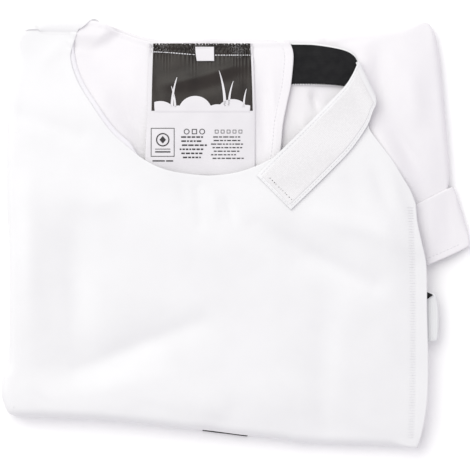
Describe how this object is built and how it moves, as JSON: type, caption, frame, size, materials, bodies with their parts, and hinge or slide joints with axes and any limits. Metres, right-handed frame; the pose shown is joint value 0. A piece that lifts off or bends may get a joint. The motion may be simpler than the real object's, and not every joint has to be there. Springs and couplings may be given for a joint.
{
  "type": "folded fencing jacket",
  "caption": "White collarless fencing half jacket folded flat, with the neck opening, inner label, shoulder strap, sleeve and cuff showing.",
  "frame": {"origin": "bottom centre of the bounding box, on the flat underside that rests on the table", "axes": "+X to the right in the picture, along the long side of the fold; +Y up in the picture, from the bottom fold to the shoulder; +Z up, away from the table"},
  "size_m": [0.3632, 0.3316, 0.0279],
  "materials": {
    "jacket_cloth": "matte white tight polyester weave",
    "facing_tape": "matte white binding tape",
    "label_satin": "satin white woven label with a dark printed field",
    "tag_satin": "satin white tag",
    "black_elastic": "matte black ribbed elastic",
    "hook_tape": "white hook tape with a fine stubbly face",
    "ribbed_webbing": "white ribbed elastic webbing",
    "inner_layers": "matte white folded cloth"
  },
  "bodies": {
    "root": {"front_panel": "jacket_cloth", "back_panel": "jacket_cloth", "sleeve": "jacket_cloth", "sleeve_cuff": "jacket_cloth", "neck_facing": "facing_tape", "neck_label": "label_satin", "size_tag": "tag_satin", "shoulder_elastic": "black_elastic", "shoulder_strap": "hook_tape", "waist_strap": "ribbed_webbing", "waist_elastic": "black_elastic", "lower_elastic": "black_elastic", "folded_layers": "inner_layers"}
  },
  "joints": []
}
